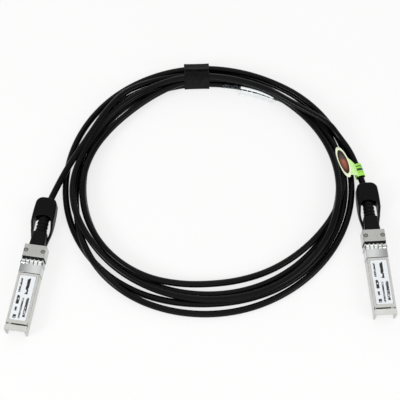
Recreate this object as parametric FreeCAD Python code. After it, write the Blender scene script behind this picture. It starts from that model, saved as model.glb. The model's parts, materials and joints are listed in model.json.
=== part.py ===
"""Direct attach copper cable: two pluggable modules joined by a coiled twin-axial cable.

Millimetres, +Z up, standing on z = 0. The origin lies below the middle of the two plugs.
Each plug is drawn in its own frame: x across, y towards the cable, z up, with the nose's
cable-side face at y = 0, so a depth u into the host is y = -u.
"""
import FreeCAD
import Part
import math
import os

V = FreeCAD.Vector

# Plug envelope
PLUG_L = 56.5              # nose face to the end of the skirts
BODY_W = 13.4
BODY_H = 8.5
BODY_Z = 0.5               # underside of the body above the surface
NOSE_L = 8.1
NOSE_W = 14.0
NOSE_RISE = 0.2            # nose above the cover
EDGE_C = 0.4               # chamfer along the outer edges
WALL = 1.0
COVER_T = 0.8
COVER_END = 52.1           # depth where the cover stops
COVER_GAP = 0.9            # open slit between the cover and the end bridge
SLIT_D = 1.6               # the slit goes on down into the side walls by this much
BRIDGE_FALL = 0.7          # slope of the end bridge's top
LIP_L = 1.2                # the cover's thin end lip
LIP_T = 0.3
SEAM_GROOVE = (0.25, 0.3)  # depth and height of the groove along the cover's lower edge
FLOOR_T = 1.5
FLOOR_RISE = 2.1           # top of the thick floor behind the nose, above the underside
FLOOR_END = 19.5           # depth where the thick floor stops
MOUTH_U = 46.1             # depth where the underside opens
SEAM_Z = 5.0               # nose halves meet here
FIT = 0.05                 # clearance of pieces that seat in each other
PAST = 1.0                 # how far a cut runs past a face

# Latch
BOSS_U = 11.5              # shoulder of the latch boss
BOSS_L = 2.6
BOSS_W = 2.6
BOSS_H = 0.45
BOSS_FLAT = 0.45           # share of the boss ahead of its ramp
TRAVEL = 2.5               # pull of the release slider
RUN_GAP = 0.1              # clearance of the sliding pieces

# Release slider, stamped from steel
SLIDE_T = 0.6
SLIDE_Z = 1.2
BAR_U = 6.6
BAR_L = 1.4
TANG_X = 3.3
TANG_W = 1.3
TANG_OUT = 4.0             # length that the tab grips
TINE_X = 1.7
TINE_W = 1.7
TINE_END = 17.0
WEDGE_L = 1.6
EAR_X = 4.4
EAR_W = 1.8
EAR_H = 1.9
EAR_T = 0.6

# Return springs
SPRING_R = 0.75            # to the wire's middle
SPRING_WIRE = 0.15         # half the wire's width
SPRING_TURNS = 5
SPRING_SEAT_U = 1.8

# Contact card
CARD_W = 9.2
CARD_T = 1.0
CARD_RISE = 2.25           # above the body's underside
CARD_START = 20.0
CARD_END = 53.3
PAD_COUNT = 10
PAD_PITCH = 0.8
PAD_W = 0.55
PAD_L = 3.3
PAD_T = 0.05
PAD_INSET = 0.3            # from the card's edge
CHIP_U = 29.0
CHIP_SIZE = (2.0, 3.0, 0.75)
CAP_COUNT = 8              # coupling capacitors
CAP_U = 44.0
CAP_PITCH = 1.05
CAP_SIZE = (0.5, 1.0, 0.5)
RAIL_W = 1.0
RAIL_U = (22.0, 44.1)
POST_R = 0.8
POST_U = 34.0

# Cable and what holds it
CABLE_D = 4.2
AXIS_RISE = 4.25           # cable centre above the body's underside
NECK_R = 2.8
FLANGE_R = 3.3
FLANGE_U = (1.5, 3.5)
FERRULE_R = 2.4
FERRULE_L = 5.0
BLOCK_U = 20.5
BLOCK_L = 4.2
BLOCK_W = 8.4
BLOCK_H = 2.3
WIRE_R = 0.55
WIRE_COUNT = 4
WIRE_PITCH = 2.05
BOOT_BASE_L = 10.0
BOOT_BASE_W = (10.0, 8.6)  # at the nose and at the ribs
BOOT_BASE_H = (7.2, 6.8)
BOOT_CORNER = 1.4
BOOT_KEEL_W = 4.8          # middle of the base between the arms
BOOT_L = 20.0
BOOT_CORE_R = (3.1, 2.85)
RIB_COUNT = 4
RIB_L = 1.4
RIB_RISE = 0.6
RIB_C = 0.2                # chamfer of the ribs

# Pull tab
TAB_SIDE = ((4.9, 0.3), (4.95, 2.5), (5.9, 8.0), (6.8, 13.0), (7.1, 18.0))
TAB_HIND = ((7.05, 9.6), (6.7, 4.6))   # measured from the rear end
TAB_L = 34.6
TAB_REAR_X = 2.2           # half width of the flat rear end
TAB_ARM_W = 2.1            # at the nose
TAB_SLOT_X = 5.5           # half width between the arms at the ribs
TAB_SLOT_END = 19.5
TAB_ARCH = 2.2
TAB_Z = 0.7
TAB_LOW_H = 1.9            # arms under the boot
TAB_ARM_H = 3.1
TAB_HEAD_H = 7.5
TAB_STEP_Y = (10.3, 12.0, 13.5, 19.0)
TAB_EDGE_R = 1.2
TUNNEL_W = 10.0
TUNNEL_H = 5.4

# Shielding collar
COLLAR_U = (9.5, 19.0)
COLLAR_GAP = 0.4           # open groove behind the collar
COLLAR_GROOVE_D = 0.6
COLLAR_T = 0.2
COLLAR_RETURN = 1.6
FINGER_U = (10.55, 13.2)
FINGER_PITCH = 2.6
FINGER_W = 2.1
FINGER_RISE = 0.5
TOP_FINGERS = 5
SIDE_FINGERS = 3
SCALLOP_R = (1.15, 0.75)   # half width and depth of the waves along the collar's front edge

# Rivets and label
RIVET_U = 4.0
RIVET_X = 5.3
RIVET_R = 0.65
RIVET_HEAD_R = 1.05
RIVET_HEAD_T = 0.25
RIVET_L = 5.0
RIVET_SINK = 0.15
RIVET_WELL = 0.3           # open ring round the head
LABEL_U = (20.8, 50.1)
LABEL_W = 10.4
LABEL_T = 0.1
RECESS_D = 0.15

# Where the plugs and the coil lie
PLUG_A_AT = (-102.9, 5.03)   # middle of the nose's face
PLUG_A_TURN = -8.4           # degrees, seen from above
TAB_A_TURN = 1.2             # the tab's own, from sideways play
PLUG_B_AT = (107.89, 15.75)
PLUG_B_TURN = 3.24
TAB_B_TURN = -1.2
COIL_X = 5.15
COIL_Y = 53.3
COIL_H = 8.6
COIL_ROUND = 1.8

# Coil, one row per turn: radius at each eighth of a turn from the tie, clockwise
COIL_R = (
    (84.4, 87.0, 86.6, 88.6, 84.7, 91.4, 92.7, 91.9),
    (87.9, 90.6, 92.3, 89.0, 91.2, 92.4, 88.8, 84.3),
    (80.5, 87.4, 86.8, 81.4, 79.7, 83.4, 84.9, 80.3),
    (78.6, 82.7, 83.2, 75.4, 72.4, 79.9, 81.2, 75.9),
    (76.6, 81.2, 83.1, 83.8, 82.3, 81.7, 86.8, 82.4),
)
COIL_IN_R = 88.1           # an eighth before the first turn
COIL_OUT_R = (82.5, 90.0)  # end of the last turn and an eighth after it

# Leads, from the strain relief into the coil
LEAD_OUT = 8.0             # straight out of the boot
LEAD_A = (
    (-95.2, 41.9, 5.0), (-89.5, 55.2, 5.6), (-84.8, 65.8, 6.2), (-79.9, 76.0, 6.3),
)
LEAD_B = (
    (104.4, 52.2, 4.8), (101.6, 63.5, 5.2), (96.9, 75.3, 5.7), (90.6, 86.3, 6.1),
    (84.6, 94.3, 6.2),
)

# Tie, wrapped round the bundle
TIE_TURN = -5.8
TIE_L = 17.0
TIE_T = 1.0
TIE_R = (74.4, 90.0)
TIE_H = 7.7
TIE_CORNER = 1.8
TAIL_T = 0.6
TAIL_W = 11.0
TAIL_INSET = 0.5           # from the strap's edges
TAIL_OUT = 1.5             # nearer the coil's outside

# Labels on the cable
FLAG_TURN = 25.0
FLAG_L = 25.0
FLAG_W = 6.0
FLAG_T = 0.3
FLAG_Z = 2.3
TAG_T = 0.2
TAG_BAND_L = 7.0
TAG_OVAL = (11.0, 3.6)
TAG_REACH = (10.0, 5.3)    # from the wrap to the oval, inward and away from the plug
TAG_TURN = 16.5
TAG_GAP = 0.3
TAG_ALONG = 0.7            # share of the run that the wrap is centred on

# Worked out from the values above
HALF_W = BODY_W / 2
BODY_TOP = BODY_Z + BODY_H
COVER_Z = BODY_TOP - COVER_T
NOSE_TOP = BODY_TOP + NOSE_RISE
AXIS_Z = BODY_Z + AXIS_RISE
CARD_Z = BODY_Z + CARD_RISE
CARD_TOP = CARD_Z + CARD_T
CABLE_R = CABLE_D / 2


def box(x0, x1, u0, u1, z0, z1):
    """A block between two depths u, measured from the nose's face into the host."""
    return Part.makeBox(x1 - x0, u1 - u0, z1 - z0, V(x0, -u1, z0))


def face_of(points):
    points = [V(*p) for p in points]
    return Part.Face(Part.makePolygon(points + points[:1]))


def section_bar(half, z0, z1, low_c, high_c, u0, u1):
    """A bar along the plug whose cross-section has chamfered corners."""
    low = [(half - low_c, z0), (half, z0 + low_c)] if low_c else [(half, z0)]
    high = [(half, z1 - high_c), (half - high_c, z1)] if high_c else [(half, z1)]
    right = low + high
    outline = right + [(-x, z) for x, z in reversed(right)]
    return face_of([(x, -u1, z) for x, z in outline]).extrude(V(0, u1 - u0, 0))


def rounded(width, height, corner, y, z):
    """A rounded rectangle, centred on x = 0 and z, in the plane y."""
    a, b = width / 2 - corner, height / 2 - corner
    edges = []
    for turn, (cx, cz) in enumerate(((a, b), (-a, b), (-a, -b), (a, -b))):
        start = turn * math.pi / 2
        on = [V(cx + corner * math.cos(start + k * math.pi / 4), y,
                z + cz + corner * math.sin(start + k * math.pi / 4)) for k in range(3)]
        if edges:
            edges.append(Part.makeLine(edges[-1].Vertexes[-1].Point, on[0]))
        edges.append(Part.Arc(*on).toShape())
    edges.append(Part.makeLine(edges[-1].Vertexes[-1].Point, edges[0].Vertexes[0].Point))
    return Part.Wire(edges)


def rod(radius, y0, y1, x=0.0, z=AXIS_Z):
    return Part.makeCylinder(radius, y1 - y0, V(x, y0, z), V(0, 1, 0))


def rivet_at(x, extra=0.0):
    """A rivet's shank and head; extra is the clearance of its hole."""
    top = NOSE_TOP - RIVET_SINK
    shank = Part.makeCylinder(RIVET_R + extra, RIVET_L, V(x, -RIVET_U, top - RIVET_L))
    head = Part.makeCylinder(RIVET_HEAD_R + extra, RIVET_HEAD_T + extra,
                             V(x, -RIVET_U, top - RIVET_HEAD_T - extra))
    return shank.fuse(head)


def rivet_well(x):
    """Open ring round a sunk rivet's head."""
    deep = RIVET_SINK + RIVET_HEAD_T
    return Part.makeCylinder(RIVET_HEAD_R + RIVET_WELL, deep, V(x, -RIVET_U, NOSE_TOP - deep))


def slider_room():
    """Pocket in the nose and recess under the body that the slider runs in."""
    low, high = SLIDE_Z - RUN_GAP, SLIDE_Z + SLIDE_T + RUN_GAP
    bar_out = TANG_X + TANG_W + RUN_GAP
    room = box(-bar_out, bar_out, BAR_U - TRAVEL - RUN_GAP, NOSE_L, low, high)
    for side in (-1, 1):
        x = sorted((side * (TANG_X - RUN_GAP), side * bar_out))
        room = room.fuse(box(x[0], x[1], 0, NOSE_L, low, high))
        x = sorted((side * (EAR_X - EAR_W / 2 - RUN_GAP), side * (EAR_X + EAR_W / 2 + RUN_GAP)))
        ear_top = SLIDE_Z + SLIDE_T + EAR_H + RUN_GAP
        room = room.fuse(box(x[0], x[1], SPRING_SEAT_U, NOSE_L, low, ear_top))
    tine_out = TINE_X + TINE_W + RUN_GAP
    under = box(-tine_out, tine_out, NOSE_L, TINE_END + RUN_GAP, BODY_Z, high)
    boss = box(-BOSS_W / 2, BOSS_W / 2, BOSS_U, BOSS_U + BOSS_L, BODY_Z, high)
    return room.fuse(under.cut(boss))


def shell_lower():
    """Die-cast base: lower half of the nose, floor, side walls, boss, skirts and end bridge."""
    nose = section_bar(NOSE_W / 2, 0, SEAM_Z, EDGE_C, 0, 0, NOSE_L)
    body = section_bar(HALF_W, BODY_Z, COVER_Z, EDGE_C, 0, NOSE_L, PLUG_L)
    inside = HALF_W - WALL
    body = body.cut(box(-inside, inside, NOSE_L, PLUG_L, BODY_Z + FLOOR_T, COVER_Z))
    body = body.cut(box(-inside, inside, MOUTH_U, PLUG_L, BODY_Z, COVER_Z))
    thick = box(-inside, inside, NOSE_L, FLOOR_END, BODY_Z + FLOOR_T, BODY_Z + FLOOR_RISE)
    bridge = section_bar(HALF_W, COVER_Z, BODY_TOP, 0, EDGE_C, COVER_END + COVER_GAP, PLUG_L)
    fall = face_of([(-HALF_W, -COVER_END - COVER_GAP, BODY_TOP), (-HALF_W, -PLUG_L, BODY_TOP),
                    (-HALF_W, -PLUG_L, BODY_TOP - BRIDGE_FALL)]).extrude(V(BODY_W, 0, 0))
    shell = nose.fuse([body, thick, bridge.cut(fall)])
    for side in (-1, 1):
        x = sorted((side * (CARD_W / 2 - RAIL_W), side * CARD_W / 2))
        shell = shell.fuse(box(x[0], x[1], *RAIL_U, BODY_Z + FLOOR_T, CARD_Z))
    ramp = face_of([
        (-BOSS_W / 2, -BOSS_U, BODY_Z), (-BOSS_W / 2, -BOSS_U, BODY_Z - BOSS_H),
        (-BOSS_W / 2, -BOSS_U - BOSS_L * BOSS_FLAT, BODY_Z - BOSS_H),
        (-BOSS_W / 2, -BOSS_U - BOSS_L, BODY_Z),
    ]).extrude(V(BOSS_W, 0, 0))
    shell = shell.cut(slider_room()).fuse(ramp)
    shell = shell.cut(box(-HALF_W, HALF_W, COVER_END, COVER_END + COVER_GAP,
                          COVER_Z - SLIT_D, COVER_Z))
    shell = shell.cut(collar_seat()).cut(cable_bore())
    for side in (-1, 1):
        shell = shell.cut(rivet_at(side * RIVET_X, FIT))
    return shell.removeSplitter()


def cable_bore():
    """Stepped bore through the nose for the strain relief's neck, its flange and the ferrule."""
    bore = rod(NECK_R + FIT, -FLANGE_U[0], PAST)
    bore = bore.fuse(rod(FLANGE_R + FIT, -FLANGE_U[1], -FLANGE_U[0]))
    return bore.fuse(rod(FERRULE_R + 2 * RUN_GAP, -NOSE_L - PAST, -FLANGE_U[1]))


def shell_upper():
    """Die-cast cover: upper half of the nose and the flat lid with two card posts."""
    nose = section_bar(NOSE_W / 2, SEAM_Z, NOSE_TOP, 0, EDGE_C, 0, NOSE_L)
    lid = section_bar(HALF_W, COVER_Z, BODY_TOP, 0, EDGE_C, NOSE_L, COVER_END)
    lid = lid.cut(collar_seat())
    lid = lid.cut(box(-HALF_W, HALF_W, COVER_END - LIP_L, COVER_END, COVER_Z, BODY_TOP - LIP_T))
    deep, high = SEAM_GROOVE
    for side in (-1, 1):
        x = sorted((side * (HALF_W - deep), side * HALF_W))
        lid = lid.cut(box(x[0], x[1], COLLAR_U[1] + COLLAR_GAP, COVER_END, COVER_Z, COVER_Z + high))
    lid = lid.cut(box(-LABEL_W / 2, LABEL_W / 2, *LABEL_U, BODY_TOP - RECESS_D, BODY_TOP))
    shell = nose.fuse(lid).cut(cable_bore())
    for side in (-1, 1):
        x = side * (CARD_W / 2 - POST_R)
        shell = shell.fuse(Part.makeCylinder(POST_R, COVER_Z - CARD_TOP,
                                             V(x, -POST_U, CARD_TOP)))
        shell = shell.cut(rivet_at(side * RIVET_X, FIT)).cut(rivet_well(side * RIVET_X))
    return shell.removeSplitter()


def rivets():
    return Part.makeCompound([rivet_at(side * RIVET_X) for side in (-1, 1)])


def collar_band(u0, u1):
    """The collar's skin between two depths: top, sides and a short return underneath."""
    outer = box(-HALF_W, HALF_W, u0, u1, BODY_Z, BODY_TOP)
    inner = box(-HALF_W + COLLAR_T, HALF_W - COLLAR_T, u0, u1,
                BODY_Z + COLLAR_T, BODY_TOP - COLLAR_T)
    centre = HALF_W - COLLAR_RETURN
    return outer.cut(inner).cut(box(-centre, centre, u0, u1, BODY_Z, BODY_Z + COLLAR_T))


def collar_seat():
    """Step that the collar and its gasket lie in, and the open groove behind them."""
    end = COLLAR_U[1] + COLLAR_GAP
    groove = box(-HALF_W, HALF_W, COLLAR_U[1], end, BODY_TOP - COLLAR_GROOVE_D, BODY_TOP)
    return collar_band(NOSE_L, end).fuse(groove)


def scallops(smaller):
    """Half-round waves of the collar's front edge, drawn in by a clearance."""
    waves = []
    for k in range(TOP_FINGERS):
        x = (k - (TOP_FINGERS - 1) / 2) * FINGER_PITCH
        wave = Part.Ellipse(V(x, -COLLAR_U[0], BODY_TOP - COLLAR_T),
                            SCALLOP_R[0] - smaller, SCALLOP_R[1] - smaller)
        waves.append(Part.Face(Part.Wire(wave.toShape())).extrude(V(0, 0, COLLAR_T)))
    return waves


def emi_collar():
    """Sheet collar round top and sides, with sprung fingers and a scalloped front edge."""
    collar = collar_band(*COLLAR_U).cut(scallops(0))
    f0, f1 = FINGER_U
    reach = (TOP_FINGERS * FINGER_PITCH - (FINGER_PITCH - FINGER_W)) / 2
    collar = collar.cut(box(-reach, reach, f0, f1, BODY_TOP - COLLAR_T, BODY_TOP))
    side_mid = (BODY_Z + BODY_TOP) / 2
    tall = (SIDE_FINGERS * FINGER_PITCH - (FINGER_PITCH - FINGER_W)) / 2
    for side in (-1, 1):
        x = sorted((side * (HALF_W - COLLAR_T), side * HALF_W))
        collar = collar.cut(box(x[0], x[1], f0, f1, side_mid - tall, side_mid + tall))
    for k in range(TOP_FINGERS):
        x = (k - (TOP_FINGERS - 1) / 2) * FINGER_PITCH
        strip = finger(FINGER_W)
        strip.translate(V(x, 0, BODY_TOP))
        collar = collar.fuse(strip)
    for k in range(SIDE_FINGERS):
        for side in (-1, 1):
            strip = finger(FINGER_W)
            strip.rotate(V(0, 0, 0), V(0, 1, 0), side * 90)
            strip.translate(V(side * HALF_W, 0, side_mid + (k - 1) * FINGER_PITCH))
            collar = collar.fuse(strip)
    return collar.removeSplitter()


def emi_gasket():
    """Conductive rubber band between the nose and the collar, waves filling its scallops."""
    band = collar_band(NOSE_L + FIT, COLLAR_U[0] - FIT)
    band = band.fuse([wave.cut(box(-HALF_W, HALF_W, 0, COLLAR_U[0] - FIT, 0, BODY_TOP))
                      for wave in scallops(FIT)])
    return band.removeSplitter()


def finger(width):
    """One arched contact strip, its outer skin ending at z = 0."""
    y0, y1 = -FINGER_U[0], -FINGER_U[1]
    mid = (y0 + y1) / 2
    x = -width / 2
    low, high = -COLLAR_T, 0.0
    edges = [
        Part.Arc(V(x, y0, high), V(x, mid, FINGER_RISE), V(x, y1, high)).toShape(),
        Part.makeLine(V(x, y1, high), V(x, y1, low)),
        Part.Arc(V(x, y1, low), V(x, mid, FINGER_RISE + low), V(x, y0, low)).toShape(),
        Part.makeLine(V(x, y0, low), V(x, y0, high)),
    ]
    return Part.Face(Part.Wire(edges)).extrude(V(width, 0, 0))


def card():
    return box(-CARD_W / 2, CARD_W / 2, CARD_START, CARD_END, CARD_Z, CARD_TOP)


def card_pads():
    pads = []
    for k in range(PAD_COUNT):
        x = (k - (PAD_COUNT - 1) / 2) * PAD_PITCH
        for z in (CARD_Z - PAD_T, CARD_TOP):
            pads.append(box(x - PAD_W / 2, x + PAD_W / 2, CARD_END - PAD_INSET - PAD_L,
                            CARD_END - PAD_INSET, z, z + PAD_T))
    return Part.makeCompound(pads)


def card_chips():
    """Memory chip and the row of coupling capacitors on the card."""
    wide, long, high = CHIP_SIZE
    chips = [box(-wide / 2, wide / 2, CHIP_U, CHIP_U + long, CARD_TOP, CARD_TOP + high)]
    wide, long, high = CAP_SIZE
    for k in range(CAP_COUNT):
        x = (k - (CAP_COUNT - 1) / 2) * CAP_PITCH
        chips.append(box(x - wide / 2, x + wide / 2, CAP_U, CAP_U + long,
                         CARD_TOP, CARD_TOP + high))
    return Part.makeCompound(chips)


def wire_pairs():
    """Screened pairs fanning out from the ferrule to the block on the card."""
    y0 = -(FLANGE_U[1] + FERRULE_L)
    wires = []
    for k in range(WIRE_COUNT):
        place = k - (WIRE_COUNT - 1) / 2
        ends = [V(place * (2 * WIRE_R + RUN_GAP), y0, AXIS_Z),
                V(place * WIRE_PITCH, -BLOCK_U, CARD_TOP + BLOCK_H / 2)]
        rings = [Part.Wire(Part.makeCircle(WIRE_R, at, V(0, 1, 0))) for at in ends]
        wires.append(Part.makeLoft(rings, True))
    return Part.makeCompound(wires)


def wire_block():
    return box(-BLOCK_W / 2, BLOCK_W / 2, BLOCK_U, BLOCK_U + BLOCK_L,
               CARD_TOP, CARD_TOP + BLOCK_H)


def ferrule():
    return rod(FERRULE_R, -(FLANGE_U[1] + FERRULE_L), -FLANGE_U[1])


def strain_relief():
    """Moulded boot: flange and neck in the nose, smooth base, then ribs."""
    base = Part.makeLoft([
        rounded(BOOT_BASE_W[0], BOOT_BASE_H[0], BOOT_CORNER, 0.0, AXIS_Z),
        rounded(BOOT_BASE_W[1], BOOT_BASE_H[1], BOOT_CORNER, BOOT_BASE_L, AXIS_Z),
    ], True)
    pitch = (BOOT_L - BOOT_BASE_L) / RIB_COUNT

    def core(y):
        share = (y - BOOT_BASE_L) / (BOOT_L - BOOT_BASE_L)
        return BOOT_CORE_R[0] + share * (BOOT_CORE_R[1] - BOOT_CORE_R[0])

    line = [(0, BOOT_BASE_L - PAST), (core(BOOT_BASE_L), BOOT_BASE_L - PAST)]
    for k in range(RIB_COUNT):
        y = BOOT_BASE_L + (k + 1) * pitch - RIB_L
        line += [(core(y), y), (core(y) + RIB_RISE, y + RIB_C),
                 (core(y) + RIB_RISE, y + RIB_L - RIB_C), (core(y), y + RIB_L)]
    line.append((0, BOOT_L))
    ribs = face_of([(r, y, AXIS_Z) for r, y in line]).revolve(V(0, 0, AXIS_Z), V(0, 1, 0), 360)
    arm_room = TAB_Z + TAB_LOW_H + 2 * RUN_GAP
    for side in (-1, 1):
        x = sorted((side * BOOT_KEEL_W / 2, side * BOOT_BASE_W[0]))
        base = base.cut(Part.makeBox(x[1] - x[0], BOOT_BASE_L, arm_room, V(x[0], 0, 0)))
    neck = rod(NECK_R, -FLANGE_U[0], 0.0)
    flange = rod(FLANGE_R, -FLANGE_U[1], -FLANGE_U[0])
    return base.fuse([ribs, neck, flange]).removeSplitter()


def tab_outline(side):
    """One side of the tab in plan, from the nose to the round rear corner."""
    points = [V(side * x, y, TAB_Z) for x, y in TAB_SIDE]
    points += [V(side * x, TAB_L - back, TAB_Z) for x, back in TAB_HIND]
    curve = Part.BSplineCurve()
    curve.interpolate(points)
    rear = V(side * TAB_REAR_X, TAB_L, TAB_Z)
    wide, long = TAB_HIND[-1][0] - TAB_REAR_X, TAB_HIND[-1][1]
    corner = V(side * (TAB_REAR_X + wide * math.sqrt(0.5)),
               TAB_L - long * (1 - math.sqrt(0.5)), TAB_Z)
    return curve.toShape(), Part.Arc(points[-1], corner, rear).toShape()


def pull_tab(turn):
    """Moulded loop: two low arms and a round-cornered sleeve that the cable runs through."""
    right, right_corner = tab_outline(1)
    left, left_corner = tab_outline(-1)
    front = Part.makeLine(V(-TAB_SIDE[0][0], TAB_SIDE[0][1], TAB_Z),
                          V(TAB_SIDE[0][0], TAB_SIDE[0][1], TAB_Z))
    rear = Part.makeLine(V(-TAB_REAR_X, TAB_L, TAB_Z), V(TAB_REAR_X, TAB_L, TAB_Z))
    around = Part.Wire(Part.__sortEdges__([front, right, right_corner, rear, left_corner, left]))
    loop = Part.Face(around).extrude(V(0, 0, TAB_HEAD_H))
    top = [e for e in loop.Edges
           if e.BoundBox.ZMin > TAB_Z + TAB_HEAD_H - FIT
           and e.BoundBox.YMax > TAB_SIDE[0][1] + FIT]
    loop = loop.makeFillet(TAB_EDGE_R, top)
    y = TAB_STEP_Y
    low, arm, over = TAB_Z + TAB_LOW_H, TAB_Z + TAB_ARM_H, TAB_Z + TAB_HEAD_H + PAST
    wide = 2 * TAB_SIDE[-1][0]
    loop = loop.cut(face_of([
        (-wide, 0, low), (-wide, y[0], low), (-wide, y[1], arm), (-wide, y[2], arm),
        (-wide, y[3], over), (-wide, 0, over),
    ]).extrude(V(2 * wide, 0, 0)))
    near = TAB_SIDE[0][0] - TAB_ARM_W
    slot = face_of([(-near, 0, 0), (near, 0, 0), (near, TAB_SIDE[1][1], 0),
                    (TAB_SLOT_X, y[1], 0), (TAB_SLOT_X, TAB_SLOT_END, 0),
                    (-TAB_SLOT_X, TAB_SLOT_END, 0), (-TAB_SLOT_X, y[1], 0),
                    (-near, TAB_SIDE[1][1], 0)]).extrude(V(0, 0, over))
    arch = Part.Ellipse(V(0, TAB_SLOT_END, 0), TAB_SLOT_X, TAB_ARCH).toShape()
    arch = Part.Face(Part.Wire(arch)).extrude(V(0, 0, over))
    tunnel = Part.makeBox(TUNNEL_W, TAB_L, TUNNEL_H,
                          V(-TUNNEL_W / 2, TAB_SLOT_END, AXIS_Z - TUNNEL_H / 2))
    loop = loop.cut(slot).cut(arch).cut(tunnel)
    loop.rotate(V(0, 0, 0), V(0, 0, 1), turn)
    for side in (-1, 1):
        x = sorted((side * (TANG_X - FIT), side * (TANG_X + TANG_W + FIT)))
        loop = loop.cut(box(x[0], x[1], -(TANG_OUT + FIT), 0,
                            SLIDE_Z - FIT, SLIDE_Z + SLIDE_T + FIT))
    return loop


def slider():
    """Stamped release slider: cross bar, two tangs, two spring ears and two wedge tines."""
    top = SLIDE_Z + SLIDE_T
    tang_out = TANG_X + TANG_W
    plate = box(-tang_out, tang_out, BAR_U, BAR_U + BAR_L, SLIDE_Z, top)
    for side in (-1, 1):
        x = sorted((side * TANG_X, side * tang_out))
        plate = plate.fuse(box(x[0], x[1], -TANG_OUT, BAR_U, SLIDE_Z, top))
        x = sorted((side * (EAR_X - EAR_W / 2), side * (EAR_X + EAR_W / 2)))
        plate = plate.fuse(box(x[0], x[1], BAR_U, BAR_U + EAR_T, top, top + EAR_H))
        x = sorted((side * TINE_X, side * (TINE_X + TINE_W)))
        plate = plate.fuse(box(x[0], x[1], BAR_U + BAR_L, TINE_END, SLIDE_Z, top))
        y = -TINE_END
        wedge = face_of([
            (x[0], y, SLIDE_Z), (x[0], y, BODY_Z + RUN_GAP),
            (x[0], y + WEDGE_L - (SLIDE_Z - BODY_Z - RUN_GAP), BODY_Z + RUN_GAP),
            (x[0], y + WEDGE_L, SLIDE_Z),
        ])
        plate = plate.fuse(wedge.extrude(V(x[1] - x[0], 0, 0)))
    return plate.removeSplitter()


def springs():
    """Two small compression springs between the nose wall and the slider's ears."""
    length = BAR_U - SPRING_SEAT_U
    run = length - 2 * SPRING_WIRE
    z = SLIDE_Z + SLIDE_T + EAR_H / 2
    made = []
    for side in (-1, 1):
        path = Part.Wire(Part.makeHelix(run / SPRING_TURNS, run, SPRING_R).Edges)
        w = SPRING_WIRE
        start = V(SPRING_R, 0, 0)
        square = Part.makePolygon([start + V(-w, 0, -w), start + V(w, 0, -w),
                                   start + V(w, 0, w), start + V(-w, 0, w),
                                   start + V(-w, 0, -w)])
        coil = path.makePipeShell([square], True, True)
        coil.rotate(V(0, 0, 0), V(1, 0, 0), 90)
        coil.translate(V(side * EAR_X, -SPRING_SEAT_U - w, z))
        made.append(coil)
    return Part.makeCompound(made)


def label():
    return box(-LABEL_W / 2 + FIT, LABEL_W / 2 - FIT, LABEL_U[0] + FIT, LABEL_U[1] - FIT,
               BODY_TOP - RECESS_D, BODY_TOP - RECESS_D + LABEL_T)


def smooth(values, at):
    """Catmull-Rom curve through evenly spaced values, read at a place counted in steps."""
    i = min(int(at), len(values) - 2)
    t = at - i
    a, b = values[max(i - 1, 0)], values[i]
    c, d = values[i + 1], values[min(i + 2, len(values) - 1)]
    return 0.5 * (2 * b + (c - a) * t + (2 * a - 5 * b + 4 * c - d) * t ** 2
                  + (3 * b - a - 3 * c + d) * t ** 3)


def coil_radii(at):
    """Radii of every pass of the cable at a place round the coil, counted in eighths."""
    line = [COIL_IN_R] + [r for turn in COIL_R for r in turn] + list(COIL_OUT_R)
    places = [at + 1 + 8 * k for k in range(-1, len(COIL_R) + 1)]
    return [smooth(line, p) for p in places if 0 <= p <= len(line) - 1]


def on_coil(radius, degrees, z=0.0):
    turn = math.radians(degrees)
    return V(COIL_X + radius * math.sin(turn), COIL_Y + radius * math.cos(turn), z)


def coil_frame(shape, radius, degrees):
    """Carries a shape drawn round the origin, +Y outward, to a place on the coil."""
    shape.rotate(V(0, 0, 0), V(0, 0, 1), -degrees)
    shape.translate(on_coil(radius, degrees))
    return shape


def closed_curve(points):
    curve = Part.BSplineCurve()
    curve.interpolate(points, PeriodicFlag=True)
    return Part.Face(Part.Wire(curve.toShape()))


def tie_bar(grow, length, z0, z1, corner):
    """A rounded bar through the tie's place: the bundle's section grown on every side."""
    width = TIE_R[1] - TIE_R[0] + 2 * grow
    bar = Part.Face(rounded(width, z1 - z0, corner, 0.0, (z0 + z1) / 2))
    bar = bar.extrude(V(0, length, 0))
    bar.rotate(V(0, 0, 0), V(0, 0, 1), 90)
    bar.translate(V(length / 2, 0, 0))
    return coil_frame(bar, (TIE_R[0] + TIE_R[1]) / 2, TIE_TURN)


def coil():
    """One closed solid of the coil's outer shape, squeezed where the tie holds it."""
    steps = 24
    outer, inner = [], []
    for k in range(steps):
        radii = coil_radii(k * 8 / steps)
        outer.append(on_coil(max(radii) + CABLE_R, k * 360 / steps))
        inner.append(on_coil(min(radii) - CABLE_R, k * 360 / steps))
    ring = closed_curve(outer).extrude(V(0, 0, COIL_H))
    ring = ring.cut(closed_curve(inner).extrude(V(0, 0, COIL_H)))
    ring = ring.makeFillet(COIL_ROUND, [e for e in ring.Edges if e.BoundBox.ZLength < FIT])
    squeeze = Part.makeBox(TIE_L, 2 * COIL_H + TIE_R[1] - TIE_R[0], 3 * COIL_H,
                           V(-TIE_L / 2, -COIL_H - (TIE_R[1] - TIE_R[0]) / 2, -COIL_H))
    ring = ring.cut(coil_frame(squeeze, (TIE_R[0] + TIE_R[1]) / 2, TIE_TURN))
    return ring.fuse(tie_bar(0, TIE_L, TIE_T, TIE_T + TIE_H, TIE_CORNER))


def cable_tie():
    """Hook-and-loop strap round the bundle, with its tail lapped over the top."""
    high = TIE_T + TIE_H
    strap = tie_bar(TIE_T, TIE_L, 0.0, high + TIE_T, TIE_CORNER + TIE_T)
    tail = Part.makeBox(TIE_L - 2 * TAIL_INSET, TAIL_W, TIE_T / 2 + TAIL_T,
                        V(-TIE_L / 2 + TAIL_INSET, -TAIL_W / 2 + TAIL_OUT, high + TIE_T / 2))
    tail = coil_frame(tail, (TIE_R[0] + TIE_R[1]) / 2, TIE_TURN)
    return strap.fuse(tail).cut(tie_bar(0, TIE_L, TIE_T, high, TIE_CORNER))


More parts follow.
